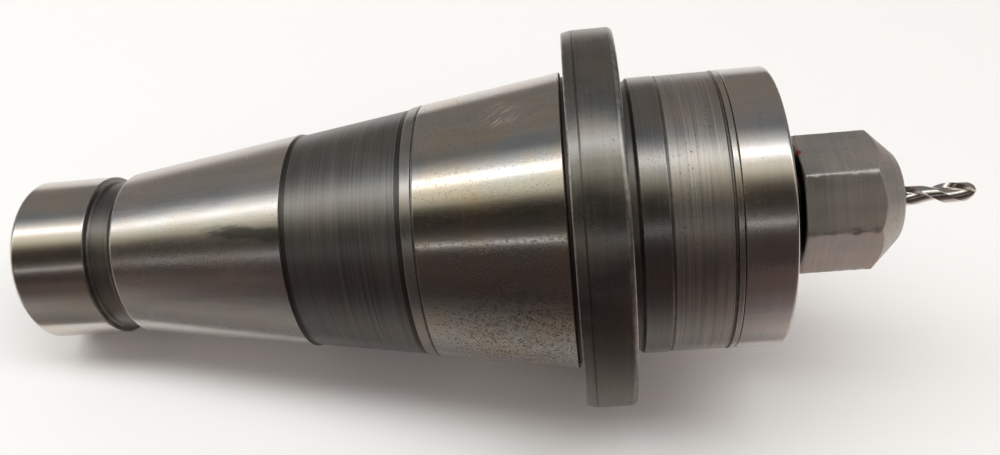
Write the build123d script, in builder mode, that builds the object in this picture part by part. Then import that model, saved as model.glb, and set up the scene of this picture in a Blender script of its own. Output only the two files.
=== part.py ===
from build123d import *
import os
from math import cos, pi, radians, tan

# Collet chuck with a 7:24 steep-taper shank and a screwed-in octagonal locking sleeve.
# All sizes are in millimetres. The spin axis is X: the drawbar end is at -X and the cutter at +X.
# The origin is the centre of the taper's gauge plane, and +Z is up.
# Outside threads are drawn at their major diameter, and the drawbar's inside thread at its minor.

os.makedirs("parts", exist_ok=True)

# ---------------------------------------------------------------- driving dimensions
GAUGE_R = 69.85 / 2            # steep-taper gauge diameter, size 50
TAPER_SLOPE = 7 / 48           # growth of the radius along X
SHANK_LENGTH = 126.8           # gauge plane to the back of the pilot
TAPER_LENGTH = 101.8           # gauge plane to the small end
PILOT_R = 39.6 / 2
PILOT_FRONT_X = -108.0
GROOVE_R = 18.3
RELIEF_START_X = -58.4         # turned band between the two ground lands
RELIEF_END_X = -30.2
RELIEF_DEPTH = 0.45
WITNESS_LINE_X = -27.4         # thin groove in front of the turned band

FLANGE_BACK_X = 6.6
FLANGE_FRONT_X = 18.2
FLANGE_R = 90.0 / 2
FLANGE_SEAT_R = 33.6

BODY_R = 66.0 / 2
NECK_END_X = 20.8              # run-out groove in front of the flange
BAND_STEP_X = 26.8             # smooth band ends, rough band starts
ROUGH_END_X = 39.5
JOINT_X = 41.5                 # face between the body and the nose ring
NOSE_RING_FRONT_X = 52.3

SPIGOT_R = 22.0                # nose ring's screwed spigot
SPIGOT_BACK_X = 33.0
DRIVE_RING_R = 14.0
DRIVE_RING_BACK_X = 24.0
CHAMBER_R = 9.5                # room behind the drive ring
CHAMBER_BACK_X = 8.0
STOP_THREAD_R = 8.0
STOP_BORE_BACK_X = -34.0
THROUGH_R = 6.5
DRAWBAR_R = 20.75 / 2          # M24 x 3 minor diameter
DRAWBAR_LENGTH = 50.0

SLEEVE_FLATS = 32.0            # across the octagon's flats
SLEEVE_BACK_X = 57.9
SLEEVE_CORNER_END_X = 73.7     # where the nose cone meets the octagon's corners
SLEEVE_FRONT_X = 81.4
SLEEVE_CONE_SLOPE = 0.95       # radius lost along X on the nose cone
SLEEVE_THREAD_R = 13.0
SLEEVE_THREAD_BACK_X = 34.0

COLLET_R = 9.0
COLLET_BACK_X = 16.0
COLLET_FRONT_X = 81.1
COLLET_FACE_R = 5.4
COLLET_HALF_ANGLE = 20.0
COLLET_FLAT = 6.0              # half the width over the driving flats
COLLET_FLAT_END_X = 34.5
SLIT_WIDTH = 1.0
SLIT_BACK_X = 46.0
RING_GROOVE_BACK_X = 68.7      # groove shared by collet and sleeve for the extractor ring
RING_GROOVE_FRONT_X = 70.7

MILL_SHANK_R = 6.35 / 2
MILL_R = 4.76 / 2
MILL_TIP_X = 100.4
MILL_BACK_X = 38.3
FLUTE_START_X = 82.6
FLUTE_LEAD = 22.5
FLUTE_R = 1.95                 # radius of each round flute
FLUTE_OFFSET = 2.75            # flute centre from the axis

RUN = 0.06                     # radial running clearance
SLACK = 0.1                    # gap beside the extractor ring
SLIDING_FIT = 0.025            # radial gap between the collet's bore and the cutter
SMALL_CHAMFER = 0.4
EDGE_CHAMFER = 1.0

LOCK_SCREW_X = 37.2            # radial screw that locks the nose ring's thread
LOCK_SCREW_R = 2.5


def taper_radius(x):
    """Radius of the steep taper at a place along the axis."""
    return GAUGE_R + TAPER_SLOPE * x


def turn(outline, mode=Mode.ADD):
    """Revolve a closed outline of (x, radius) points once round the X axis."""
    with BuildSketch(Plane.XY) as section:
        with BuildLine():
            Polyline(*outline, close=True)
        make_face()
    revolve(section.sketch, axis=Axis.X, mode=mode)


def finish(piece, name):
    """Label a finished piece and write it to its own file."""
    piece.part.label = name
    export_step(piece.part, f"parts/{name}.step")
    print(name, "volume", round(piece.part.volume, 1), "solids", len(piece.part.solids()))


# ---------------------------------------------------------------- shank body
GROOVE_RAMP = 0.7
WITNESS_STEP = 0.1
WITNESS_DEPTH = 0.4
WITNESS_FLOOR = 0.2            # width of the thin groove's floor
NECK_R = 32.3
NECK_RAMP = 0.5
UNDERCUT_R = 34.5
UNDERCUT_BACK_X = 5.7
MOUTH_R = 12.3
BAND_LIP = 0.05                # the smooth band flares a little before its step
BAND_STEP = 0.3
ROUGH_R = BODY_R - 0.1
LINE_DEPTH = 0.5               # turned line between the rough band and the front lip
LINE_WIDTH = 0.4
JOINT_CHAMFER = 0.3
SPIGOT_GAP = 0.2
DRILL_POINT = 2.2              # length of the cone that the drawbar thread's drill leaves

taper_back_x = -TAPER_LENGTH
relief_back_r = taper_radius(RELIEF_START_X)
relief_front_r = taper_radius(RELIEF_END_X)
witness_r = taper_radius(WITNESS_LINE_X)

shank_outline = [
    (-SHANK_LENGTH, MOUTH_R),
    (-SHANK_LENGTH, PILOT_R - EDGE_CHAMFER),
    (-SHANK_LENGTH + EDGE_CHAMFER, PILOT_R),
    (PILOT_FRONT_X - SMALL_CHAMFER, PILOT_R),
    (PILOT_FRONT_X, PILOT_R - SMALL_CHAMFER),
    (PILOT_FRONT_X, GROOVE_R),
    (taper_back_x - GROOVE_RAMP, GROOVE_R),
    (taper_back_x, taper_radius(taper_back_x) - GROOVE_RAMP),
    (taper_back_x + GROOVE_RAMP, taper_radius(taper_back_x + GROOVE_RAMP)),
    (RELIEF_START_X, relief_back_r),
    (RELIEF_START_X, relief_back_r - RELIEF_DEPTH),
    (RELIEF_END_X, relief_front_r - RELIEF_DEPTH),
    (RELIEF_END_X, relief_front_r - WITNESS_STEP),
    (WITNESS_LINE_X - 2 * WITNESS_FLOOR, witness_r - WITNESS_STEP),
    (WITNESS_LINE_X - WITNESS_FLOOR, witness_r - WITNESS_DEPTH),
    (WITNESS_LINE_X, witness_r - WITNESS_DEPTH),
    (WITNESS_LINE_X + WITNESS_STEP, taper_radius(WITNESS_LINE_X + WITNESS_STEP)),
    (UNDERCUT_BACK_X - SMALL_CHAMFER, taper_radius(UNDERCUT_BACK_X)),
    (UNDERCUT_BACK_X, taper_radius(UNDERCUT_BACK_X) - SMALL_CHAMFER),
    (UNDERCUT_BACK_X, UNDERCUT_R),
    (FLANGE_BACK_X, UNDERCUT_R),
    (FLANGE_BACK_X, FLANGE_SEAT_R),
    (FLANGE_FRONT_X, FLANGE_SEAT_R),
    (FLANGE_FRONT_X, NECK_R),
    (NECK_END_X - NECK_RAMP, NECK_R),
    (NECK_END_X, BODY_R),
    (BAND_STEP_X, BODY_R + BAND_LIP),
    (BAND_STEP_X, BODY_R - BAND_STEP),
    (BAND_STEP_X + SMALL_CHAMFER, ROUGH_R),
    (ROUGH_END_X, ROUGH_R),
    (ROUGH_END_X + LINE_DEPTH / 5, ROUGH_R - LINE_DEPTH),
    (ROUGH_END_X + LINE_DEPTH / 5 + LINE_WIDTH, ROUGH_R - LINE_DEPTH),
    (ROUGH_END_X + LINE_DEPTH / 5 + LINE_WIDTH + LINE_DEPTH / 5, BODY_R),
    (JOINT_X - JOINT_CHAMFER, BODY_R),
    (JOINT_X, BODY_R - SMALL_CHAMFER),
    (JOINT_X, SPIGOT_R),
    (SPIGOT_BACK_X - SPIGOT_GAP, SPIGOT_R),
    (SPIGOT_BACK_X - SPIGOT_GAP, DRIVE_RING_R),
    (DRIVE_RING_BACK_X, DRIVE_RING_R),
    (DRIVE_RING_BACK_X, CHAMBER_R),
    (CHAMBER_BACK_X, CHAMBER_R),
    (CHAMBER_BACK_X, STOP_THREAD_R + RUN),
    (STOP_BORE_BACK_X, STOP_THREAD_R + RUN),
    (STOP_BORE_BACK_X, THROUGH_R),
    (-SHANK_LENGTH + DRAWBAR_LENGTH + DRILL_POINT, THROUGH_R),
    (-SHANK_LENGTH + DRAWBAR_LENGTH, DRAWBAR_R),
    (-SHANK_LENGTH + MOUTH_R - DRAWBAR_R, DRAWBAR_R),
]

LOCK_HOLE_DEPTH = BODY_R - SPIGOT_R + 0.5

with BuildPart() as shank_body:
    turn(shank_outline)
    with Locations(Plane(origin=(LOCK_SCREW_X, BODY_R, 0), x_dir=(1, 0, 0), z_dir=(0, 1, 0))):
        Hole(radius=LOCK_SCREW_R, depth=LOCK_HOLE_DEPTH)
finish(shank_body, "shank_body")


# ---------------------------------------------------------------- flange ring
BACK_CHAMFER_X = 2.2
BACK_CHAMFER_R = 0.5
FRONT_CHAMFER_X = 0.8
FRONT_CHAMFER_R = 0.6
FACE_INNER_R = 36.4            # the back face's flat starts here, outside the taper's large end
FACE_RELIEF = 0.6

with BuildPart() as flange_ring:
    turn([
        (FLANGE_BACK_X, FLANGE_SEAT_R),
        (FLANGE_BACK_X, UNDERCUT_R),
        (FLANGE_BACK_X + FACE_RELIEF, UNDERCUT_R),
        (FLANGE_BACK_X + FACE_RELIEF, FACE_INNER_R),
        (FLANGE_BACK_X, FACE_INNER_R),
        (FLANGE_BACK_X, FLANGE_R - BACK_CHAMFER_R),
        (FLANGE_BACK_X + BACK_CHAMFER_X, FLANGE_R),
        (FLANGE_FRONT_X - FRONT_CHAMFER_X, FLANGE_R),
        (FLANGE_FRONT_X, FLANGE_R - FRONT_CHAMFER_R),
        (FLANGE_FRONT_X, FLANGE_SEAT_R),
    ])
finish(flange_ring, "flange_ring")


# ---------------------------------------------------------------- nose ring
SPANNER_HOLE_R = 2.25
SPANNER_HOLE_DEPTH = 5.0
SPANNER_PCD_R = 24.5

with BuildPart() as nose_ring:
    turn([
        (SPIGOT_BACK_X, SLEEVE_THREAD_R + RUN),
        (SPIGOT_BACK_X, SPIGOT_R - EDGE_CHAMFER),
        (SPIGOT_BACK_X + EDGE_CHAMFER, SPIGOT_R),
        (JOINT_X, SPIGOT_R),
        (JOINT_X, BODY_R - SMALL_CHAMFER),
        (JOINT_X + JOINT_CHAMFER, BODY_R),
        (NOSE_RING_FRONT_X - SMALL_CHAMFER, BODY_R),
        (NOSE_RING_FRONT_X, BODY_R - SMALL_CHAMFER),
        (NOSE_RING_FRONT_X, SLEEVE_THREAD_R + EDGE_CHAMFER),
        (NOSE_RING_FRONT_X - EDGE_CHAMFER, SLEEVE_THREAD_R + RUN),
    ])
    with Locations(Plane(origin=(NOSE_RING_FRONT_X, 0, 0), x_dir=(0, 1, 0), z_dir=(1, 0, 0))):
        with PolarLocations(radius=SPANNER_PCD_R, count=2):
            Hole(radius=SPANNER_HOLE_R, depth=SPANNER_HOLE_DEPTH)
finish(nose_ring, "nose_ring")


# ---------------------------------------------------------------- nose ring lock: pad and screw
PAD_LENGTH = 2.5
PAD_CHAMFER = 0.3
PAD_GAP = 0.05
LOCK_SCREW_LENGTH = 6.0
LOCK_SOCKET_INRADIUS = 2.5 / 2
LOCK_SOCKET_DEPTH = 3.0

pad_plane = Plane(origin=(LOCK_SCREW_X, SPIGOT_R + PAD_GAP, 0), x_dir=(1, 0, 0), z_dir=(0, 1, 0))
with BuildPart() as lock_pad:
    with BuildSketch(pad_plane):
        Circle(LOCK_SCREW_R - SLACK)
    extrude(amount=PAD_LENGTH)
    chamfer(lock_pad.edges().group_by(Axis.Y)[-1], length=PAD_CHAMFER)
finish(lock_pad, "lock_pad")

screw_plane = pad_plane.offset(PAD_LENGTH + PAD_GAP)
with BuildPart() as ring_lock_screw:
    with BuildSketch(screw_plane):
        Circle(LOCK_SCREW_R)
    extrude(amount=LOCK_SCREW_LENGTH)
    chamfer(ring_lock_screw.edges().filter_by(GeomType.CIRCLE), length=SMALL_CHAMFER)
    with BuildSketch(screw_plane.offset(LOCK_SCREW_LENGTH)):
        RegularPolygon(LOCK_SOCKET_INRADIUS, 6, major_radius=False)
    extrude(amount=-LOCK_SOCKET_DEPTH, mode=Mode.SUBTRACT)
finish(ring_lock_screw, "ring_lock_screw")


# ---------------------------------------------------------------- drive ring
with BuildPart() as drive_ring:
    with BuildSketch(Plane.YZ.offset(DRIVE_RING_BACK_X)):
        Circle(DRIVE_RING_R)
        with BuildSketch(mode=Mode.PRIVATE) as drive_slot:
            Circle(COLLET_R + RUN)
            Rectangle(2 * (COLLET_FLAT + RUN), 4 * COLLET_R, mode=Mode.INTERSECT)
        add(drive_slot.sketch, mode=Mode.SUBTRACT)
    extrude(amount=SPIGOT_BACK_X - DRIVE_RING_BACK_X)
finish(drive_ring, "drive_ring")


# ---------------------------------------------------------------- cutter stop: screw, washer, spring, centre
STOP_FRONT_X = 3.5
STOP_BACK_X = -22.0
STOP_SOCKET_DEPTH = 9.0
STOP_SOCKET_INRADIUS = 8.0 / 2
CENTRE_ROD_R = 3.9
CENTRE_BACK_X = -8.0
ROD_CLEARANCE = 0.1
BLIND_ROOM = 3.0               # free length behind the centre's rod

with BuildPart() as stop_screw:
    turn([
        (STOP_BACK_X, 0),
        (STOP_BACK_X, STOP_THREAD_R - EDGE_CHAMFER),
        (STOP_BACK_X + EDGE_CHAMFER, STOP_THREAD_R),
        (STOP_FRONT_X - EDGE_CHAMFER, STOP_THREAD_R),
        (STOP_FRONT_X, STOP_THREAD_R - EDGE_CHAMFER),
        (STOP_FRONT_X, CENTRE_ROD_R + ROD_CLEARANCE),
        (CENTRE_BACK_X - BLIND_ROOM, CENTRE_ROD_R + ROD_CLEARANCE),
        (CENTRE_BACK_X - BLIND_ROOM, 0),
    ])
    with BuildSketch(Plane.YZ.offset(STOP_BACK_X)):
        RegularPolygon(STOP_SOCKET_INRADIUS, 6, major_radius=False)
    extrude(amount=STOP_SOCKET_DEPTH, mode=Mode.SUBTRACT)
finish(stop_screw, "stop_screw")

WASHER_BACK_X = 3.6
WASHER_FRONT_X = 5.0
WASHER_R = STOP_THREAD_R - 0.4

with BuildPart() as stop_washer:
    turn([
        (WASHER_BACK_X, CENTRE_ROD_R + ROD_CLEARANCE),
        (WASHER_BACK_X, WASHER_R),
        (WASHER_FRONT_X, WASHER_R),
        (WASHER_FRONT_X, CENTRE_ROD_R + ROD_CLEARANCE),
    ])
finish(stop_washer, "stop_washer")

SPRING_WIRE_R = 0.4
SPRING_R = 4.9
SPRING_TURNS = 4
SPRING_GAP = 0.1
COLLAR_BACK_X = 11.0

spring_start_x = WASHER_FRONT_X + SPRING_WIRE_R + SPRING_GAP
spring_end_x = COLLAR_BACK_X - SPRING_WIRE_R - SPRING_GAP
spring_pitch = (spring_end_x - spring_start_x) / SPRING_TURNS

with BuildPart() as centre_spring:
    with BuildLine() as coil:
        Helix(spring_pitch, spring_end_x - spring_start_x, SPRING_R,
              center=(spring_start_x, 0, 0), direction=(1, 0, 0))
    with BuildSketch(Plane(coil.line @ 0, z_dir=coil.line % 0)):
        Circle(SPRING_WIRE_R)
    sweep(path=coil.line, is_frenet=True)
finish(centre_spring, "centre_spring")

COLLAR_R = 6.0
COLLAR_FRONT_X = 12.6
CENTRE_TIP_X = 39.9
CENTRE_TIP_R = 0.2
POINT_HALF_ANGLE = 30.0

point_start_x = CENTRE_TIP_X - (CENTRE_ROD_R - CENTRE_TIP_R) / tan(radians(POINT_HALF_ANGLE))

with BuildPart() as locating_centre:
    turn([
        (CENTRE_BACK_X, 0),
        (CENTRE_BACK_X, CENTRE_ROD_R - SMALL_CHAMFER),
        (CENTRE_BACK_X + SMALL_CHAMFER, CENTRE_ROD_R),
        (COLLAR_BACK_X, CENTRE_ROD_R),
        (COLLAR_BACK_X, COLLAR_R),
        (COLLAR_FRONT_X, COLLAR_R),
        (COLLAR_FRONT_X, CENTRE_ROD_R),
        (point_start_x, CENTRE_ROD_R),
        (CENTRE_TIP_X, CENTRE_TIP_R),
        (CENTRE_TIP_X, 0),
    ])
finish(locating_centre, "locating_centre")


# ---------------------------------------------------------------- collet
COLLET_TAIL_R = 4.2            # clearance bore behind the cutter's shank
COLLET_GROOVE_R = 7.6
BORE_CHAMFER = 0.3
collet_bore_r = MILL_SHANK_R + SLIDING_FIT
collet_cone_run = (COLLET_R - COLLET_FACE_R) / tan(radians(COLLET_HALF_ANGLE))
collet_cone_x = COLLET_FRONT_X - collet_cone_run

with BuildPart() as collet:
    turn([
        (COLLET_BACK_X, COLLET_TAIL_R),
        (COLLET_BACK_X, COLLET_R - SMALL_CHAMFER),
        (COLLET_BACK_X + SMALL_CHAMFER, COLLET_R),
        (RING_GROOVE_BACK_X, COLLET_R),
        (RING_GROOVE_BACK_X, COLLET_GROOVE_R),
        (RING_GROOVE_FRONT_X, COLLET_GROOVE_R),
        (RING_GROOVE_FRONT_X, COLLET_R),
        (collet_cone_x, COLLET_R),
        (COLLET_FRONT_X, COLLET_FACE_R),
        (COLLET_FRONT_X, collet_bore_r + BORE_CHAMFER),
        (COLLET_FRONT_X - BORE_CHAMFER, collet_bore_r),
        (MILL_BACK_X, collet_bore_r),
        (MILL_BACK_X - EDGE_CHAMFER, COLLET_TAIL_R),
    ])
    flat_length = COLLET_FLAT_END_X - COLLET_BACK_X
    for side in (-1, 1):
        with Locations((COLLET_BACK_X, side * (COLLET_FLAT + COLLET_R / 2), 0)):
            Box(flat_length, COLLET_R, 3 * COLLET_R,
                align=(Align.MIN, Align.CENTER, Align.CENTER), mode=Mode.SUBTRACT)
    slit_length = COLLET_FRONT_X - SLIT_BACK_X + 1
    with Locations((SLIT_BACK_X, 0, 0)):
        Box(slit_length, SLIT_WIDTH, 3 * COLLET_R,
            align=(Align.MIN, Align.CENTER, Align.CENTER), mode=Mode.SUBTRACT)
        Box(slit_length, 3 * COLLET_R, SLIT_WIDTH,
            align=(Align.MIN, Align.CENTER, Align.CENTER), mode=Mode.SUBTRACT)
finish(collet, "collet")


# ---------------------------------------------------------------- extractor ring
EXTRACTOR_R = COLLET_R + 1.2
EXTRACTOR_GAP = 2.0            # width of the snap ring's opening

with BuildPart() as extractor_ring:
    with BuildSketch(Plane.YZ.offset(RING_GROOVE_BACK_X + SLACK)):
        Circle(EXTRACTOR_R)
        Circle(COLLET_GROOVE_R + SLACK, mode=Mode.SUBTRACT)
        with Locations((0, -COLLET_R)):
            Rectangle(EXTRACTOR_GAP, COLLET_R, mode=Mode.SUBTRACT)
    extrude(amount=RING_GROOVE_FRONT_X - RING_GROOVE_BACK_X - 2 * SLACK)
finish(extractor_ring, "extractor_ring")


# ---------------------------------------------------------------- locking sleeve
SIDES = 8
SLEEVE_CORNER_R = SLEEVE_FLATS / 2 / cos(pi / SIDES)
CORNER_BREAK = 0.2             # how far the turned blank stands above the corners
CONE_OVERRUN = 1.0
NECK_RELIEF_R = 11.9
RELIEF_WIDTH = 3.0
RELIEF_RAMP = 0.6
THREAD_CHAMFER = 0.8
SLEEVE_GROOVE_R = EXTRACTOR_R + SLACK
NOSE_ROUND = 1.6
SEAT_GAP = 0.1                 # left between the sleeve's cone and the collet's
cone_front_r = SLEEVE_CORNER_R - SLEEVE_CONE_SLOPE * (SLEEVE_FRONT_X - SLEEVE_CORNER_END_X)
cone_back_r = SLEEVE_CORNER_R + SLEEVE_CONE_SLOPE * CONE_OVERRUN

with BuildPart() as locking_sleeve:
    with BuildSketch(Plane.YZ.offset(SLEEVE_BACK_X)):
        RegularPolygon(SLEEVE_FLATS / 2, SIDES, major_radius=False, rotation=180 / SIDES)
    extrude(amount=SLEEVE_FRONT_X - SLEEVE_BACK_X)
    turn([
        (SLEEVE_BACK_X, 0),
        (SLEEVE_BACK_X, SLEEVE_CORNER_R - SMALL_CHAMFER),
        (SLEEVE_BACK_X + SMALL_CHAMFER, SLEEVE_CORNER_R + CORNER_BREAK),
        (SLEEVE_CORNER_END_X - CONE_OVERRUN, cone_back_r),
        (SLEEVE_FRONT_X, cone_front_r),
        (SLEEVE_FRONT_X, 0),
    ], mode=Mode.INTERSECT)
    nose_edge = locking_sleeve.edges().filter_by(GeomType.CIRCLE).sort_by(Axis.X)[-1]
    fillet(nose_edge, radius=NOSE_ROUND)
    turn([
        (SLEEVE_THREAD_BACK_X, 0),
        (SLEEVE_THREAD_BACK_X, SLEEVE_THREAD_R - THREAD_CHAMFER),
        (SLEEVE_THREAD_BACK_X + THREAD_CHAMFER, SLEEVE_THREAD_R),
        (SLEEVE_BACK_X - RELIEF_WIDTH - RELIEF_RAMP, SLEEVE_THREAD_R),
        (SLEEVE_BACK_X - RELIEF_WIDTH, NECK_RELIEF_R),
        (SLEEVE_BACK_X, NECK_RELIEF_R),
        (SLEEVE_BACK_X, 0),
    ])
    turn([
        (SLEEVE_THREAD_BACK_X, 0),
        (SLEEVE_THREAD_BACK_X, COLLET_R + RUN),
        (RING_GROOVE_BACK_X, COLLET_R + RUN),
        (RING_GROOVE_BACK_X, SLEEVE_GROOVE_R),
        (RING_GROOVE_FRONT_X, SLEEVE_GROOVE_R),
        (RING_GROOVE_FRONT_X, COLLET_R + SEAT_GAP),
        (collet_cone_x, COLLET_R + SEAT_GAP),
        (COLLET_FRONT_X, COLLET_FACE_R + SEAT_GAP),
        (SLEEVE_FRONT_X, COLLET_FACE_R + SEAT_GAP),
        (SLEEVE_FRONT_X, 0),
    ], mode=Mode.SUBTRACT)
finish(locking_sleeve, "locking_sleeve")


# ---------------------------------------------------------------- ball-nosed end mill
CENTRE_HOLE_R = 1.5
SHANK_CHAMFER = 0.3
SHANK_CONE = 0.9               # length of the cone between the shank and the fluted part
flute_length = MILL_TIP_X - FLUTE_START_X

with BuildSketch(Plane.YZ.offset(FLUTE_START_X)) as flute_section:
    Circle(MILL_R)
    with PolarLocations(radius=FLUTE_OFFSET, count=2):
        Circle(FLUTE_R, mode=Mode.SUBTRACT)

with BuildPart() as mill_flutes:
    add(Solid.extrude_linear_with_rotation(
        flute_section.sketch.faces()[0],
        center=(FLUTE_START_X, 0, 0),
        normal=(flute_length, 0, 0),
        angle=360 * flute_length / FLUTE_LEAD,
    ))
    with BuildSketch(Plane.XY) as ball_envelope:
        with BuildLine():
            ball_back_x = MILL_TIP_X - MILL_R
            Polyline((MILL_TIP_X, 0), (FLUTE_START_X, 0), (FLUTE_START_X, MILL_R), (ball_back_x, MILL_R))
            RadiusArc((ball_back_x, MILL_R), (MILL_TIP_X, 0), MILL_R)
        make_face()
    revolve(ball_envelope.sketch, axis=Axis.X, mode=Mode.INTERSECT)

with BuildPart() as end_mill:
    turn([
        (MILL_BACK_X, 0),
        (MILL_BACK_X, MILL_SHANK_R - SHANK_CHAMFER),
        (MILL_BACK_X + SHANK_CHAMFER, MILL_SHANK_R),
        (COLLET_FRONT_X, MILL_SHANK_R),
        (COLLET_FRONT_X + SHANK_CONE, MILL_R),
        (FLUTE_START_X, MILL_R),
        (FLUTE_START_X, 0),
    ])
    turn([
        (MILL_BACK_X, 0),
        (MILL_BACK_X, CENTRE_HOLE_R),
        (MILL_BACK_X + CENTRE_HOLE_R / tan(radians(POINT_HALF_ANGLE)), 0),
    ], mode=Mode.SUBTRACT)
    add(mill_flutes.part)
finish(end_mill, "end_mill")
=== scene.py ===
from math import atan2, ceil, cos, pi, radians, sin

import bpy
import numpy as np
from mathutils import Matrix, Vector


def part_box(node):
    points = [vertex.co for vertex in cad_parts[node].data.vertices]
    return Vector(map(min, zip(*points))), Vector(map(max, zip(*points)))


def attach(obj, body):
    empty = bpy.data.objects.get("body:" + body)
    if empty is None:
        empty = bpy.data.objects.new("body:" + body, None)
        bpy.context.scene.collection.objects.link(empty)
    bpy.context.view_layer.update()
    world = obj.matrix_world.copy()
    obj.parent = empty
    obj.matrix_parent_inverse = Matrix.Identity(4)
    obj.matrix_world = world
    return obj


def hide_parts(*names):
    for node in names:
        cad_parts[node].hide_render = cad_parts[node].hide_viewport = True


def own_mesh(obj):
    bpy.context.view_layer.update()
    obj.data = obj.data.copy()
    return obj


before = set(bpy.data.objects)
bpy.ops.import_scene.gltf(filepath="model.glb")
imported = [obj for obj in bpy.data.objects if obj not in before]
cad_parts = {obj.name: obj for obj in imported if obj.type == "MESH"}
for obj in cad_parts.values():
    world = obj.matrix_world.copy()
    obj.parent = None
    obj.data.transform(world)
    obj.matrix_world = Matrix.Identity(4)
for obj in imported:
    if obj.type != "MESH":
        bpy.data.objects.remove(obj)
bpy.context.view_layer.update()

# A used collet chuck on a pale table. Sizes are in millimetres and become metres in new_piece().
# The spin axis is X, the cutter points to +X and +Z is up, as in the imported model.
MM = 0.001

# ---------------------------------------------------------------- sizes
# Read from the frame where a CAD node gives them, and named here where none does.


def node_x(node):
    """Lowest and highest X of a CAD node, in millimetres."""
    low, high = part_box(node)
    return low[0] / MM, high[0] / MM


def node_radius(node):
    """Largest radius of a turned CAD node, in millimetres."""
    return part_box(node)[1][2] / MM


SHANK_BACK = node_x("shank_body")[0]
FLANGE_BACK, FLANGE_FRONT = node_x("flange_ring")
FLANGE_R = node_radius("flange_ring")
RING_BACK, RING_FRONT = node_x("nose_ring")
BODY_R = node_radius("nose_ring")
SLEEVE_BACK_END, SLEEVE_FRONT = node_x("locking_sleeve")
SLEEVE_INRADIUS = node_radius("locking_sleeve")
MILL_BACK, MILL_TIP = node_x("end_mill")
MILL_SHANK_R = node_radius("end_mill")

GAUGE_R = 34.925
TAPER_SLOPE = 7 / 48
TAPER_BACK = -101.8
PILOT_R = 19.8
PILOT_FRONT = -108.0
GROOVE_R = 18.3
RELIEF_BACK = -58.4
RELIEF_FRONT = -30.2
RELIEF_DEPTH = 0.45
RUN_OUT = 1.3
WITNESS_X = -27.4
UNDERCUT_BACK = 5.7
UNDERCUT_R = 34.5
SEAT_R = 33.6
BACK_CHAMFER = 2.2
NECK_R = 32.3
NECK_END = 20.8
BAND_STEP = 26.8
ROUGH_END = 39.5
ROUGH_R = BODY_R - 0.1
JOINT_X = 41.5
SPIGOT_R = 22.0
LOCK_SCREW_X = 37.2
LOCK_SCREW_R = 2.5
SPANNER_HOLE_R = 2.25
SPANNER_RING_R = 24.5
SLEEVE_REAR_FACE = 57.9
SLEEVE_CORNER_END = 73.7
CONE_SLOPE = 0.95
NECK_THREAD_R = 13.0
BORE_R = 9.06
MOUTH_R = 5.5
MILL_R = 2.38
FLUTE_START = 82.2
FLUTE_LEAD = 22.5
FULL_TURN = 2 * pi
PILOT_CHAMFER = 1.0
BACK_CHAMFER_DROP = 0.5
FRONT_CHAMFER = 0.8
FRONT_CHAMFER_DROP = 0.6
JOINT_CHAMFER = 0.18
JOINT_CHAMFER_DROP = 0.3
MILL_SHANK_MIDDLE = 60.0
BORE_FRONT = 71.2

# Bores of the shank, from its back end to the nose ring.
DRAWBAR_MOUTH_R = 12.3
DRAWBAR_MINOR_R = 10.375
DRAWBAR_END = SHANK_BACK + 50.0
DRAWBAR_PITCH = 3.0
DRAWBAR_THREAD_DEPTH = 1.6
KEY_BORE_R = 6.5
STOP_BORE_R = 8.06
STOP_BORE_BACK = -34.0
SPRING_BORE_R = 9.5
SPRING_BORE_BACK = 8.0
COLLET_BORE_R = 14.0
COLLET_BORE_BACK = 24.0


def taper_r(x):
    """Radius of the 7:24 taper at a place along the axis."""
    return GAUGE_R + TAPER_SLOPE * x


# ---------------------------------------------------------------- materials


def new_material(name):
    """A new material, and the graph of its nodes."""
    material = bpy.data.materials.new(name)
    material.use_nodes = True
    return material, Graph(material.node_tree)


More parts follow.
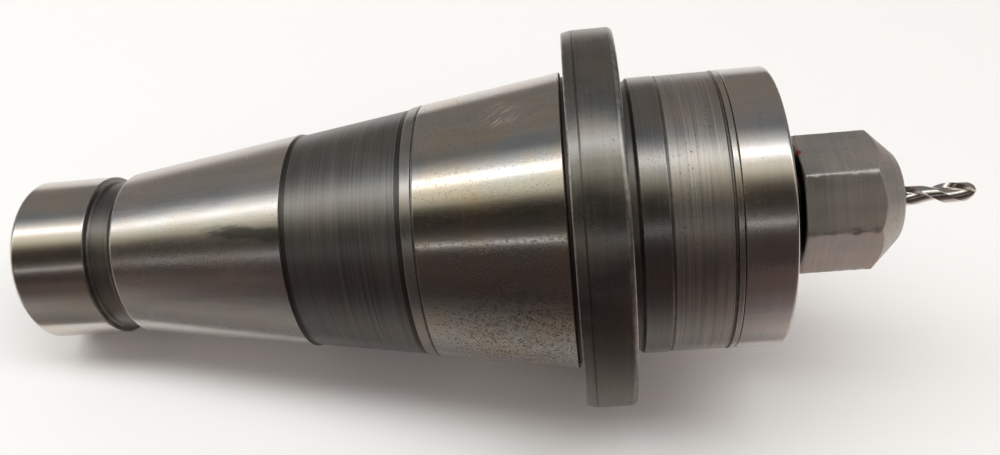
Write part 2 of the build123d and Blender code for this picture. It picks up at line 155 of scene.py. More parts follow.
class Graph:
    """A node tree, with short calls for the nodes that this scene needs."""

    def __init__(self, tree):
        self.tree = tree
        self.shader = tree.nodes.get("Principled BSDF")

    def node(self, kind, **settings):
        made = self.tree.nodes.new(kind)
        for key, value in settings.items():
            setattr(made, key, value)
        return made

    def put(self, value, socket):
        if isinstance(value, bpy.types.NodeSocket):
            self.tree.links.new(value, socket)
        else:
            socket.default_value = value

    def math(self, operation, *values, clamp=False):
        made = self.node("ShaderNodeMath", operation=operation, use_clamp=clamp)
        for value, socket in zip(values, made.inputs):
            self.put(value, socket)
        return made.outputs[0]

    def scaled(self, vector, factor):
        made = self.node("ShaderNodeVectorMath", operation="SCALE")
        self.put(vector, made.inputs[0])
        self.put(factor, made.inputs["Scale"])
        return made.outputs[0]

    def millimetres(self):
        return self.scaled(self.node("ShaderNodeTexCoord").outputs["Object"], 1 / MM)

    def stretched(self, position, scale):
        mapping = self.node("ShaderNodeMapping", vector_type="POINT")
        self.put(position, mapping.inputs["Vector"])
        mapping.inputs["Scale"].default_value = scale
        return mapping.outputs[0]

    def noise(self, vector, scale=1.0, detail=3.0, roughness=0.6):
        made = self.node("ShaderNodeTexNoise")
        self.put(vector, made.inputs["Vector"])
        made.inputs["Scale"].default_value = scale
        made.inputs["Detail"].default_value = detail
        made.inputs["Roughness"].default_value = roughness
        return made.outputs["Fac"]

    def ramp(self, value, low, high, to_low=0.0, to_high=1.0):
        made = self.node("ShaderNodeMapRange", interpolation_type="SMOOTHSTEP")
        self.put(value, made.inputs["Value"])
        made.inputs["From Min"].default_value = low
        made.inputs["From Max"].default_value = high
        made.inputs["To Min"].default_value = to_low
        made.inputs["To Max"].default_value = to_high
        return made.outputs[0]

    def mix(self, factor, first, second):
        made = self.node("ShaderNodeMix", data_type="RGBA")
        self.put(factor, made.inputs[0])
        self.put(first, made.inputs[6])
        self.put(second, made.inputs[7])
        return made.outputs[2]

    def attribute(self, name):
        return self.node("ShaderNodeAttribute", attribute_name=name).outputs["Fac"]

    def swing(self, noise, weight, onto):
        """A noise's swing about its middle, weighted and added to another value."""
        return self.math("MULTIPLY_ADD", self.math("SUBTRACT", noise, 0.5), weight, onto)

    def distance(self, position, centre):
        """How far each place is from a centre, in millimetres."""
        made = self.node("ShaderNodeVectorMath", operation="DISTANCE")
        self.put(position, made.inputs[0])
        made.inputs[1].default_value = centre
        return made.outputs["Value"]

    def framed(self, position, centre, turn, reach):
        """Places as a mark sees them: from its centre, turned about Z, in lengths of its reach."""
        made = self.node("ShaderNodeMapping", vector_type="TEXTURE")
        self.put(position, made.inputs["Vector"])
        made.inputs["Location"].default_value = centre
        made.inputs["Rotation"].default_value = (0.0, 0.0, radians(turn))
        made.inputs["Scale"].default_value = reach
        return made.outputs[0]

    def marked(self, mark, mark_colour, roughening, colour, gloss):
        """Colour and roughness with a mark laid over them."""
        return self.mix(mark, colour, mark_colour), self.math("MULTIPLY_ADD", mark, roughening, gloss)

    def bump(self, height, distance, strength=1.0):
        made = self.node("ShaderNodeBump")
        self.put(height, made.inputs["Height"])
        made.inputs["Distance"].default_value = distance * MM
        made.inputs["Strength"].default_value = strength
        self.put(made.outputs["Normal"], self.shader.inputs["Normal"])


LEAST_TONE = 0.25      # stains and rings never darken the steel below this share
WORN_STEEL = (0.76, 0.74, 0.71, 1.0)
PIT_COLOUR = (0.05, 0.042, 0.036, 1.0)
SCRATCH_COLOUR = (0.95, 0.80, 0.72, 1.0)
MOTTLE_COLOUR = (0.25, 0.20, 0.155, 1.0)
SMUDGE_COLOUR = (0.12, 0.115, 0.105, 1.0)
PAINT_COLOUR = (0.62, 0.07, 0.04, 1.0)
SCRATCH_PLACE = (-7.5, 2.0, 33.6)
MOTTLE_PLACE = (-6.0, -33.0, 1.0)
SMUDGE_PLACE = (-65.0, -15.4, 20.1)
PAINT_PLACE = (SLEEVE_REAR_FACE - 0.1, 0.9, SLEEVE_INRADIUS - 0.2)


def pit_mask(graph, place, pits, pit_zone):
    """Where pits show, 0 to 1: small spots inside broad patches, or packed closer in a zone."""
    patches = graph.ramp(graph.noise(place, scale=0.12, detail=3.0), 0.45, 0.62)
    spot_level = 0.63
    if pit_zone:
        centre, reach = pit_zone
        near = graph.ramp(graph.distance(place, centre), reach * 0.4, reach, 1.0, 0.3)
        patches = graph.math("MULTIPLY", graph.math("MAXIMUM", patches, 0.75), near)
        spot_level = 0.56
    spots = graph.noise(place, scale=2.0, detail=2.5, roughness=0.6)
    shown = graph.ramp(spots, spot_level, spot_level + 0.06)
    return graph.math("MULTIPLY", graph.math("MULTIPLY", shown, patches), pits)


def steel(name, base, rough, rings=0.2, ring_scale=5.0, stain=0.3, brown=0.2, smear=0.0, pits=0.0,
          pit_zone=None, cut=0.004, wear=0.3, extra=None):
    """Machined steel: rings run round the axis, smears along it, with stains, pits and worn edges."""
    material, graph = new_material(name)
    place = graph.millimetres()
    fine = graph.noise(graph.stretched(place, (ring_scale, 0.05, 0.05)), detail=6.0, roughness=0.8)
    broad = graph.noise(graph.stretched(place, (ring_scale / 3, 0.02, 0.02)), detail=2.0)
    cloud = graph.noise(place, scale=0.09, detail=4.0, roughness=0.5)
    streak = graph.noise(graph.stretched(place, (0.03, 0.45, 0.45)), detail=4.0, roughness=0.7)
    lines = graph.math("ADD", graph.math("MULTIPLY", fine, 0.6), graph.math("MULTIPLY", broad, 0.4))
    pit = pit_mask(graph, place, pits, pit_zone)
    patchy = graph.ramp(graph.noise(place, scale=0.5, detail=3.0), 0.38, 0.64, 0.3 * wear, wear)
    worn = graph.math("MULTIPLY", graph.attribute("edge_wear"), patchy)

    tone = graph.swing(lines, 4 * rings, 1.0)
    tone = graph.swing(cloud, 2 * stain, tone)
    tone = graph.swing(streak, 2 * smear, tone)
    tone = graph.math("MAXIMUM", tone, LEAST_TONE)
    warm = (base[0], base[1] * (1 - 0.35 * brown), base[2] * (1 - 0.7 * brown), 1.0)
    colour = graph.mix(graph.ramp(cloud, 0.38, 0.66), base + (1.0,), warm)
    colour = graph.mix(pit, graph.scaled(colour, tone), PIT_COLOUR)
    colour = graph.mix(worn, colour, WORN_STEEL)

    gloss = graph.swing(lines, 0.04 + 0.4 * rings, rough)
    gloss = graph.swing(cloud, 0.05 + 0.4 * stain, gloss)
    gloss = graph.swing(streak, 0.4 * smear, gloss)
    gloss = graph.math("MULTIPLY_ADD", pit, 0.35, gloss)
    gloss = graph.math("MULTIPLY_ADD", worn, 0.12, gloss)
    if extra:
        colour, gloss = extra(graph, place, colour, gloss)
    graph.put(colour, graph.shader.inputs["Base Color"])
    graph.put(gloss, graph.shader.inputs["Roughness"])
    graph.shader.inputs["Metallic"].default_value = 1.0
    graph.bump(graph.math("SUBTRACT", lines, graph.math("MULTIPLY", pit, 2.0)), cut)
    return material


def scratches(graph, place, colour, gloss):
    """Adds a small sheaf of fresh diagonal scratches to the upper side of the front land."""
    sheaf = graph.noise(graph.framed(place, SCRATCH_PLACE, 38, (10.0, 0.36, 6.0)),
                        scale=1.8, detail=2.0, roughness=0.5)
    near = graph.ramp(graph.distance(place, SCRATCH_PLACE), 2.0, 6.5, 1.0, 0.0)
    mark = graph.math("MULTIPLY", graph.ramp(sheaf, 0.56, 0.585), near)
    return graph.marked(mark, SCRATCH_COLOUR, 0.35, colour, gloss)


def mottle(graph, place, colour, gloss):
    """Adds brown mottling to the lower -Y side of the front land, and the scratches above it."""
    near = graph.ramp(graph.distance(place, MOTTLE_PLACE), 7.0, 20.0, 0.65, 0.0)
    spots = graph.noise(place, scale=0.75, detail=5.0, roughness=0.7)
    blotch = graph.math("MULTIPLY", graph.ramp(spots, 0.46, 0.62), near)
    colour, gloss = graph.marked(blotch, MOTTLE_COLOUR, 0.08, colour, gloss)
    return scratches(graph, place, colour, gloss)


def smudge(graph, place, colour, gloss):
    """Adds a dark greasy smudge along the rear land, with a wavering edge."""
    wobble = graph.noise(graph.stretched(place, (0.12, 0.5, 0.5)), detail=3.0)
    length = graph.node("ShaderNodeVectorMath", operation="LENGTH")
    graph.put(graph.framed(place, SMUDGE_PLACE, -10, (15.0, 1.9, 1.9)), length.inputs[0])
    reach = graph.math("MULTIPLY_ADD", wobble, 1.6, length.outputs["Value"])
    mark = graph.ramp(reach, 1.25, 2.0, 0.85, 0.0)
    return graph.marked(mark, SMUDGE_COLOUR, 0.08, colour, gloss)


def paint_dab(graph, place, colour, gloss):
    """Adds a dab of red marking paint at the rear edge of the sleeve's top flat."""
    wobble = graph.noise(place, scale=1.6, detail=2.0)
    reach = graph.math("MULTIPLY_ADD", wobble, 0.9, graph.distance(place, PAINT_PLACE))
    dab = graph.ramp(reach, 1.15, 1.5, 0.9, 0.0)
    return graph.marked(dab, PAINT_COLOUR, 0.2, colour, gloss)


# Each finish: the material's name, its colour and its roughness, then steel()'s other settings.
FINISHES = {
    "pilot": ("ground pilot", (0.61, 0.575, 0.54), 0.20,
              dict(rings=0.05, stain=0.12, brown=0.15, smear=0.06)),
    "groove": ("turned groove", (0.22, 0.205, 0.195), 0.40,
               dict(rings=0.2, ring_scale=2.5, cut=0.02, wear=0.1)),
    "rear_land": ("ground rear land", (0.60, 0.58, 0.56), 0.25,
                  dict(rings=0.02, stain=0.1, brown=0.15, smear=0.2, pits=0.25, extra=smudge)),
    "relief": ("turned relief band", (0.24, 0.238, 0.232), 0.36,
               dict(rings=0.65, ring_scale=9.0, stain=0.2, brown=0.12, cut=0.010, wear=0.15)),
    "relief_end": ("tool run-out", (0.10, 0.098, 0.095), 0.38, dict(rings=0.3, ring_scale=6.0, wear=0.0)),
    "strip": ("ground strip", (0.46, 0.44, 0.42), 0.30,
              dict(rings=0.08, stain=0.4, brown=0.2, pits=0.5, wear=0.1)),
    "front_land": ("ground front land", (0.60, 0.585, 0.555), 0.155,
                   dict(rings=0.02, stain=0.14, brown=0.3, smear=0.14, pits=0.85,
                        pit_zone=(MOTTLE_PLACE, 28.0), extra=mottle)),
    "undercut": ("undercut", (0.14, 0.125, 0.115), 0.45, dict(rings=0.3, cut=0.02, wear=0.1)),
    "flange": ("turned flange", (0.285, 0.277, 0.265), 0.29,
               dict(rings=0.22, ring_scale=6.0, stain=0.42, brown=0.25, smear=0.15, pits=0.4, cut=0.010,
                    wear=0.4)),
    "flange_line": ("turned line", (0.15, 0.145, 0.14), 0.32, dict(rings=0.3, wear=0.0)),
    "neck": ("neck", (0.20, 0.195, 0.19), 0.36, dict(rings=0.4, ring_scale=2.0, cut=0.03, wear=0.1)),
    "smooth_band": ("smooth band", (0.31, 0.303, 0.295), 0.265,
                    dict(rings=0.2, ring_scale=6.0, stain=0.25, brown=0.2, pits=0.4, cut=0.008)),
    "rough_band": ("scored band", (0.48, 0.46, 0.44), 0.34,
                   dict(rings=0.55, ring_scale=7.0, stain=0.25, brown=0.2, pits=0.9, cut=0.015, wear=0.2)),
    "lip": ("ground lip", (0.55, 0.53, 0.51), 0.25,
            dict(rings=0.12, stain=0.3, brown=0.25, pits=0.3, wear=0.2)),
    "nose": ("ground nose ring", (0.61, 0.58, 0.565), 0.205,
             dict(rings=0.07, stain=0.18, brown=0.2, pits=0.45, smear=0.08, wear=0.2)),
    "bore": ("bore", (0.22, 0.20, 0.19), 0.42, dict(rings=0.3, ring_scale=1.5, stain=0.5, cut=0.02)),
    "thread": ("thread", (0.30, 0.28, 0.265), 0.36, dict(rings=0.1, stain=0.5, brown=0.3)),
    "sleeve": ("milled sleeve", (0.55, 0.52, 0.495), 0.48,
               dict(rings=0.2, ring_scale=3.5, stain=0.45, brown=0.15, smear=0.15, pits=0.8, wear=1.0,
                    extra=paint_dab)),
    # Near black as painted shade: the sleeve's rear face and neck lie in the dark gap behind the sleeve.
    "sleeve_back": ("sleeve back in painted shade", (0.022, 0.021, 0.020), 0.45, dict(rings=0.3, wear=0.0)),
    "cutter": ("ground cutter", (0.66, 0.64, 0.62), 0.2,
               dict(rings=0.06, ring_scale=9.0, stain=0.1, brown=0.12)),
    "collet": ("collet", (0.42, 0.40, 0.385), 0.33, dict(rings=0.2, stain=0.35)),
    "spring": ("spring steel", (0.34, 0.33, 0.33), 0.35, dict(rings=0.1, stain=0.3)),
    "inner": ("hardened steel", (0.40, 0.39, 0.375), 0.33, dict(rings=0.2, stain=0.3)),
    "screw": ("blackened steel", (0.085, 0.083, 0.085), 0.42, dict(rings=0.1, stain=0.3)),
    "brass": ("brass pad", (0.72, 0.52, 0.24), 0.35, dict(rings=0.15, stain=0.25)),
}
made_materials = {}


def finish_material(key):
    """The material of one finish, made once."""
    if key not in made_materials:
        name, base, rough, settings = FINISHES[key]
        made_materials[key] = steel(name, base, rough, **settings)
    return made_materials[key]


# ---------------------------------------------------------------- turned shapes

CORNER_STEPS = 3
CORNER_SHARE = 0.45    # most of a stretch that one corner's rounding may take
WORN_ROUNDING = 0.05   # corners rounded more than this are worn bright, the others a little
GUARD = 0.12           # a row this far from each rounded corner keeps the worn edge narrow
LONGEST_STEP = 4.0
LATHE_SEGMENTS = 224
MARK_COUNT = 400


def rounded_rows(outline, steps, closed=True):
    """Rows (x, radius, finish, edge) along an outline of (x, radius, rounding, next stretch's finish)."""
    rows = []
    count = len(outline)
    for k, (x, radius, rounding, finish) in enumerate(outline):
        corner = np.array([x, radius])
        before = np.array(outline[k - 1][:2]) - corner
        after_point = outline[(k + 1) % count]
        after = np.array(after_point[:2]) - corner
        run = np.linalg.norm(after)
        if not closed and k == 0:
            start = corner
        else:
            back = np.linalg.norm(before)
            start = corner + before / back * min(rounding, CORNER_SHARE * back)
        last = not closed and k == count - 1
        end = corner if last else corner + after / run * min(rounding, CORNER_SHARE * run)
        earlier = outline[k - 1][3]
        edge = 1.0 if rounding > WORN_ROUNDING else 0.3
        for t in np.linspace(0, 1, CORNER_STEPS + 1) if rounding > 0 else (1.0,):
            point = (1 - t) ** 2 * start + 2 * t * (1 - t) * corner + t * t * end
            rows.append((point[0], point[1], earlier if t < 0.5 else finish, edge))
        if last:
            break
        stop = corner + after / run * (run - min(after_point[2], CORNER_SHARE * run))
        length = np.linalg.norm(stop - end)
        places = [GUARD / length, 1 - GUARD / length] if length > 4 * GUARD else []
        pieces = ceil(length / steps.get(finish, LONGEST_STEP))
        places += [j / pieces for j in range(1, pieces)]
        for share in sorted(places):
            point = end + (stop - end) * share
            rows.append((point[0], point[1], finish, 0.0))
    return rows


def ring_marks(x, finish, tables):
    """Radial offset that turning left at x: values of a seeded table, joined by straight lines."""
    if finish not in tables:
        return 0.0
    depth, pitch, seed = tables[finish]
    table = np.random.default_rng(seed).random(MARK_COUNT)
    place = (x - SHANK_BACK) / pitch % (MARK_COUNT - 1)
    return -depth * np.interp(place, np.arange(MARK_COUNT), table ** 2)


def screw_wave(x, angle, pitch):
    """A 60 degree thread's height from root 0 to crest 1, at a place along and round the axis."""
    phase = (x / pitch - angle / FULL_TURN) % 1.0
    return np.clip(np.abs(2 * phase - 1) * 1.25 - 0.125, 0, 1)


def new_piece(name, x, y, z, row_finish, edge, caps=(False, False), closed=False):
    """A mesh object from grids of rows by segments; a row's finish covers the faces up to the next."""
    rows, segments = x.shape
    places = np.stack([x, y, z], axis=-1).reshape(-1, 3)
    index = np.arange(rows * segments).reshape(rows, segments)
    following = np.roll(index, -1, axis=1)
    strips = rows if closed else rows - 1
    faces = []
    face_finish = []
    for i in range(strips):
        j = (i + 1) % rows
        quads = np.stack([index[i], following[i], following[j], index[j]], axis=-1)
        faces.extend(quads.tolist())
        face_finish.extend([row_finish[i]] * segments)
    edges = np.repeat(np.asarray(edge, dtype=float), segments) if np.ndim(edge) == 1 else edge.reshape(-1)
    for end, wanted in zip((0, rows - 1), caps):
        if wanted:
            centre = places.shape[0]
            places = np.vstack([places, places[index[end]].mean(axis=0)])
            edges = np.append(edges, 0.0)
            fan = [[centre, int(a), int(b)] for a, b in zip(index[end], following[end])]
            faces.extend(fan if end else [[c, b, a] for c, a, b in fan])
            face_finish.extend([row_finish[end]] * segments)
    mesh = bpy.data.meshes.new(name)
    mesh.from_pydata((places * MM).tolist(), [], faces)
    keys = sorted(set(face_finish))
    for key in keys:
        mesh.materials.append(finish_material(key))
    mesh.polygons.foreach_set("material_index", [keys.index(key) for key in face_finish])
    mesh.polygons.foreach_set("use_smooth", [True] * len(faces))
    wear = mesh.attributes.new("edge_wear", "FLOAT", "POINT")
    wear.data.foreach_set("value", edges.astype(np.float32))
    mesh.update()
    mesh.validate()
    piece = bpy.data.objects.new(name, mesh)
    bpy.context.scene.collection.objects.link(piece)
    volume = signed_volume(mesh)
    if volume < 0:
        mesh.flip_normals()
    return piece


def signed_volume(mesh):
    """Volume with its sign, which says whether the normals face outwards."""
    mesh.calc_loop_triangles()
    corners = np.empty(len(mesh.loop_triangles) * 3, dtype=np.int32)
    mesh.loop_triangles.foreach_get("vertices", corners)
    places = np.empty(len(mesh.vertices) * 3, dtype=np.float32)
    mesh.vertices.foreach_get("co", places)
    triangle = places.reshape(-1, 3)[corners.reshape(-1, 3)].astype(float)
    return float(np.einsum("ij,ij->i", triangle[:, 0], np.cross(triangle[:, 1], triangle[:, 2])).sum() / 6)


def place_piece(piece, body, slot, *nodes):
    """Rides and replaces in one call; slot is not used."""
    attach(piece, body)
    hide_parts(*nodes)
    return piece


def dent(x, y, z, at_x, angle, size, depth, length=1.0):
    """Pushes the grid towards the axis round a point of its surface; length stretches the dent along X."""
    radius = np.hypot(y, z)
    nearest = np.argmin(np.abs(x[:, 0] - at_x) - 1e-3 * radius[:, 0])
    r = radius[nearest, 0]
    cy = r * cos(radians(angle))
    cz = r * sin(radians(angle))
    away = ((x - at_x) / (size * length)) ** 2 + ((y - cy) / size) ** 2 + ((z - cz) / size) ** 2
    push = 1 - depth * np.exp(-away) / np.maximum(radius, 1.0)
    y *= push
    z *= push


def lathe(name, outline, steps=None, marks=None, threads=None, segments=LATHE_SEGMENTS, dents=()):
    """Turns a closed outline round X, with turning marks, threads and dents in the mesh itself.

    Marks are (depth, pitch, seed) and threads (pitch, depth), each for a finish. A dent is
    (x, angle round X in degrees, size, depth).
    """
    rows = rounded_rows(outline, steps or {})
    x = np.array([row[0] for row in rows])
    radius = np.array([row[1] + ring_marks(row[0], row[2], marks or {}) for row in rows])
    angle = np.arange(segments) / segments * FULL_TURN
    grid_x = np.repeat(x[:, None], segments, axis=1)
    grid_r = np.repeat(radius[:, None], segments, axis=1)
    for finish, (pitch, depth) in (threads or {}).items():
        for i, row in enumerate(rows):
            if row[2] == finish and row[3] == 0.0:
                grid_r[i] += depth * screw_wave(x[i], angle, pitch)
    grid_y = grid_r * np.cos(angle)
    grid_z = grid_r * np.sin(angle)
    for one in dents:
        dent(grid_x, grid_y, grid_z, *one)
    finishes = [row[2] for row in rows]
    return new_piece(name, grid_x, grid_y, grid_z, finishes, [row[3] for row in rows], closed=True)


def drill(piece, centre, direction, radius, depth, finish="bore", sides=48):
    """Cuts a round blind hole into a piece, by a boolean with a cylinder."""
    bpy.ops.mesh.primitive_cylinder_add(vertices=sides, radius=radius * MM, depth=2 * depth * MM)
    cutter = bpy.context.object
    cutter.rotation_mode = "QUATERNION"
    cutter.rotation_quaternion = Vector(direction).to_track_quat("Z", "Y")
    cutter.location = Vector(centre) * MM
    cutter.data.materials.append(finish_material(finish))
    modifier = piece.modifiers.new("drill", "BOOLEAN")
    modifier.operation = "DIFFERENCE"
    modifier.solver = "EXACT"
    modifier.material_mode = "TRANSFER"
    modifier.object = cutter
    bpy.context.view_layer.update()
    drilled = bpy.data.meshes.new_from_object(piece.evaluated_get(bpy.context.evaluated_depsgraph_get()))
    piece.modifiers.clear()
    piece.data = drilled
    bpy.data.objects.remove(cutter)
    drilled.set_sharp_from_angle(angle=radians(50))


# ---------------------------------------------------------------- the chuck's body


def make_shank():
    """Taper shank, groove, relief band, body and its bores."""
    relief_back_r = taper_r(RELIEF_BACK)
    relief_front_r = taper_r(RELIEF_FRONT)
    witness_r = taper_r(WITNESS_X)
    outline = [
        (SHANK_BACK, DRAWBAR_MOUTH_R, 0.3, "pilot"),
        (SHANK_BACK, PILOT_R - PILOT_CHAMFER, 0.35, "pilot"),
        (SHANK_BACK + PILOT_CHAMFER, PILOT_R, 0.5, "pilot"),
        (PILOT_FRONT - 0.25, PILOT_R, 0.2, "groove"),
        (PILOT_FRONT, PILOT_R - 0.4, 0.15, "groove"),
        (PILOT_FRONT + 0.1, GROOVE_R, 0.5, "groove"),
        (TAPER_BACK - 0.9, GROOVE_R, 0.6, "groove"),
        (TAPER_BACK, taper_r(TAPER_BACK) - 0.7, 0.2, "rear_land"),
        (TAPER_BACK + 0.7, taper_r(TAPER_BACK + 0.7), 0.3, "rear_land"),
        (RELIEF_BACK, relief_back_r, 0.12, "relief"),
        (RELIEF_BACK + 0.05, relief_back_r - RELIEF_DEPTH, 0.1, "relief_end"),
        (RELIEF_BACK + RUN_OUT, taper_r(RELIEF_BACK + RUN_OUT) - RELIEF_DEPTH, 0.1, "relief"),
        (RELIEF_FRONT - RUN_OUT, taper_r(RELIEF_FRONT - RUN_OUT) - RELIEF_DEPTH, 0.1, "relief_end"),
        (RELIEF_FRONT, relief_front_r - RELIEF_DEPTH, 0.1, "relief"),
        (RELIEF_FRONT + 0.05, relief_front_r - 0.1, 0.12, "strip"),
        (WITNESS_X - 0.45, witness_r - 0.1, 0.12, "relief"),
        (WITNESS_X - 0.2, witness_r - 0.4, 0.08, "relief"),
        (WITNESS_X + 0.05, witness_r - 0.4, 0.08, "relief"),
        (WITNESS_X + 0.15, taper_r(WITNESS_X + 0.1), 0.1, "front_land"),
        (UNDERCUT_BACK - 0.3, taper_r(UNDERCUT_BACK - 0.3), 0.25, "undercut"),
        (UNDERCUT_BACK, taper_r(UNDERCUT_BACK) - 0.4, 0.1, "undercut"),
        (UNDERCUT_BACK + 0.05, UNDERCUT_R, 0.1, "undercut"),
        (FLANGE_BACK, UNDERCUT_R, 0.05, "undercut"),
        (FLANGE_BACK, SEAT_R - 0.05, 0.0, "undercut"),
        (FLANGE_FRONT, SEAT_R - 0.05, 0.05, "neck"),
        (FLANGE_FRONT, NECK_R, 0.3, "neck"),
        (NECK_END - 0.5, NECK_R, 0.3, "neck"),
        (NECK_END, BODY_R - 0.02, 0.3, "smooth_band"),
        (BAND_STEP - 0.1, BODY_R, 0.15, "neck"),
        (BAND_STEP, BODY_R - 0.35, 0.08, "neck"),
        (BAND_STEP + 0.5, ROUGH_R, 0.2, "rough_band"),
        (ROUGH_END - 0.1, ROUGH_R, 0.15, "neck"),
        (ROUGH_END + 0.1, BODY_R - 0.4, 0.12, "neck"),
        (ROUGH_END + 0.5, BODY_R - 0.4, 0.12, "neck"),
        (ROUGH_END + 0.65, BODY_R, 0.12, "lip"),
        (JOINT_X - JOINT_CHAMFER, BODY_R, 0.1, "neck"),
        (JOINT_X, BODY_R - JOINT_CHAMFER_DROP, 0.05, "neck"),
        (JOINT_X, SPIGOT_R, 0.0, "bore"),
        (RING_BACK - 0.2, SPIGOT_R, 0.0, "bore"),
        (RING_BACK - 0.2, COLLET_BORE_R, 0.0, "bore"),
        (COLLET_BORE_BACK, COLLET_BORE_R, 0.0, "bore"),
        (COLLET_BORE_BACK, SPRING_BORE_R, 0.0, "bore"),
        (SPRING_BORE_BACK, SPRING_BORE_R, 0.0, "bore"),
        (SPRING_BORE_BACK, STOP_BORE_R, 0.0, "bore"),
        (STOP_BORE_BACK, STOP_BORE_R, 0.0, "bore"),
        (STOP_BORE_BACK, KEY_BORE_R, 0.2, "bore"),
        (DRAWBAR_END + 2.2, KEY_BORE_R, 0.3, "bore"),
        (DRAWBAR_END, DRAWBAR_MINOR_R, 0.2, "thread"),
        (SHANK_BACK + 1.9, DRAWBAR_MINOR_R, 0.2, "bore"),
    ]
    piece = lathe(
        "taper_shank", outline,
        steps={"relief": 0.3, "rough_band": 0.2, "smooth_band": 0.6, "thread": 0.75, "front_land": 2.0,
               "rear_land": 2.5, "bore": 8.0},
        marks={"relief": (0.006, 0.3, 3), "rough_band": (0.045, 0.32, 4), "smooth_band": (0.02, 0.6, 5),
               "neck": (0.05, 0.4, 6)},
        threads={"thread": (DRAWBAR_PITCH, DRAWBAR_THREAD_DEPTH)}, segments=192,
        dents=[(JOINT_X - 0.3, -128, 0.8, 0.12), (BAND_STEP, -60, 0.7, 0.08), (-104.0, 235, 0.9, 0.15)])
    drill(piece, (LOCK_SCREW_X, BODY_R, 0), (0, 1, 0), LOCK_SCREW_R, BODY_R - SPIGOT_R - 0.5)
    return place_piece(piece, "chuck", "ground_steel", "shank_body")


def make_flange():
    """Round flange with broad worn chamfers and a relieved back face."""
    outline = [
        (FLANGE_BACK, SEAT_R, 0.0, "flange"),
        (FLANGE_BACK, UNDERCUT_R, 0.0, "flange"),
        (FLANGE_BACK + 0.6, UNDERCUT_R + 0.1, 0.1, "flange"),
        (FLANGE_BACK + 0.6, 36.4, 0.1, "flange"),
        (FLANGE_BACK, 36.5, 0.1, "flange"),
        (FLANGE_BACK, FLANGE_R - BACK_CHAMFER_DROP, 0.35, "flange"),
        (FLANGE_BACK + BACK_CHAMFER, FLANGE_R - 0.03, 0.05, "flange_line"),
        (FLANGE_BACK + BACK_CHAMFER + 0.25, FLANGE_R - 0.12, 0.05, "flange_line"),
        (FLANGE_BACK + BACK_CHAMFER + 0.5, FLANGE_R, 0.05, "flange"),
        (FLANGE_FRONT - FRONT_CHAMFER, FLANGE_R, 0.35, "flange"),
        (FLANGE_FRONT, FLANGE_R - FRONT_CHAMFER_DROP, 0.3, "flange"),
        (FLANGE_FRONT, SEAT_R, 0.0, "flange"),
    ]
    piece = lathe(
        "round_flange", outline, steps={"flange": 0.25}, marks={"flange": (0.012, 0.35, 11)}, segments=384,
        dents=[(FLANGE_BACK + 1.5, 247, 1.3, 0.35), (FLANGE_FRONT - 1.2, 240, 1.1, 0.25),
               (FLANGE_BACK + 0.8, 262, 1.0, 0.3), (FLANGE_BACK + 1.6, 160, 1.4, 0.25),
               (FLANGE_FRONT - 1.6, 200, 1.5, 0.2), (FLANGE_FRONT - 1.2, 60, 1.4, 0.3)])
    return place_piece(piece, "chuck", "turned_steel", "flange_ring")


def make_nose_ring():
    """Ground ring at the front, with its screwed spigot and two spanner holes."""
    outline = [
        (RING_BACK, NECK_THREAD_R + 0.06, 0.0, "bore"),
        (RING_BACK, SPIGOT_R - 1.0, 0.0, "bore"),
        (RING_BACK + 1.0, SPIGOT_R, 0.0, "bore"),
        (JOINT_X, SPIGOT_R, 0.0, "bore"),
        (JOINT_X, BODY_R - JOINT_CHAMFER_DROP, 0.05, "nose"),
        (JOINT_X + JOINT_CHAMFER, BODY_R, 0.1, "nose"),
        (RING_FRONT - 0.45, BODY_R, 0.4, "nose"),
        (RING_FRONT, BODY_R - 0.45, 0.2, "nose"),
        (RING_FRONT, NECK_THREAD_R + 1.0, 0.2, "bore"),
        (RING_FRONT - 1.0, NECK_THREAD_R + 0.06, 0.1, "bore"),
    ]
    piece = lathe(
        "front_ring", outline, steps={"nose": 0.6, "bore": 4.0}, marks={"nose": (0.004, 0.5, 21)},
        segments=320,
        dents=[(JOINT_X + 0.3, 232, 0.7, 0.25), (RING_FRONT - 0.3, 190, 0.8, 0.1)])
    for side in (-1, 1):
        drill(piece, (RING_FRONT, side * SPANNER_RING_R, 0), (1, 0, 0), SPANNER_HOLE_R, 5.0)
    return place_piece(piece, "chuck", "nose_steel", "nose_ring")


# ---------------------------------------------------------------- locking sleeve

OCTAGON_SIDES = 8
EDGE_SOFTNESS = 0.22
CORNER_WEAR = 0.22     # half width of the worn strip along each corner
CREASE_WEAR = 0.12     # the same, where the flats meet the nose cone
REAR_WEAR = 0.2        # length of the worn strip round the rear edge
REAR_EDGE = ((0.0, 0.28), (0.06, 0.13), (0.16, 0.04), (0.3, 0.0))   # its rounding: x, drop
REAR_CHAMFER = 0.35    # off each corner of the rear face
REAR_CHAMFER_SLOPE = 1.4
NOSE_ROUND = 1.5
CLOSE_ROWS = 73.0      # rows stand close together from here to the nose
NOSE_ROWS = 79.5
NECK_UNDERCUT_R = 11.9
SLEEVE_PITCH = 1.5
SLEEVE_THREAD_DEPTH = 0.9
NICKS = 110


def soft_min(a, b, width):
    """The smaller of two lengths, with a rounded change-over of the given width."""
    blend = np.clip(0.5 + 0.5 * (b - a) / width, 0, 1)
    return b * (1 - blend) + a * blend - width * blend * (1 - blend)


def sleeve_angles(per_side=32):
    """Angles round the octagon, close together at its corners."""
    share = (np.arange(per_side) + 0.5) / per_side * 2 - 1
    half = pi / OCTAGON_SIDES
    within = half * np.sin(share * pi / 2)
    return np.concatenate([k * 2 * half + within for k in range(OCTAGON_SIDES)])


def octagon_radius(angle, inradius):
    """Radius of an octagon with rounded corners, and how near its corner each angle is, 0 to 1."""
    half = pi / OCTAGON_SIDES
    off = (angle + half) % (2 * half) - half
    near = inradius / np.cos(off)
    far = inradius / np.cos(2 * half - np.abs(off))
    corner = np.exp(-(((half - np.abs(off)) * inradius) / CORNER_WEAR) ** 2)
    return soft_min(near, far, EDGE_SOFTNESS), corner


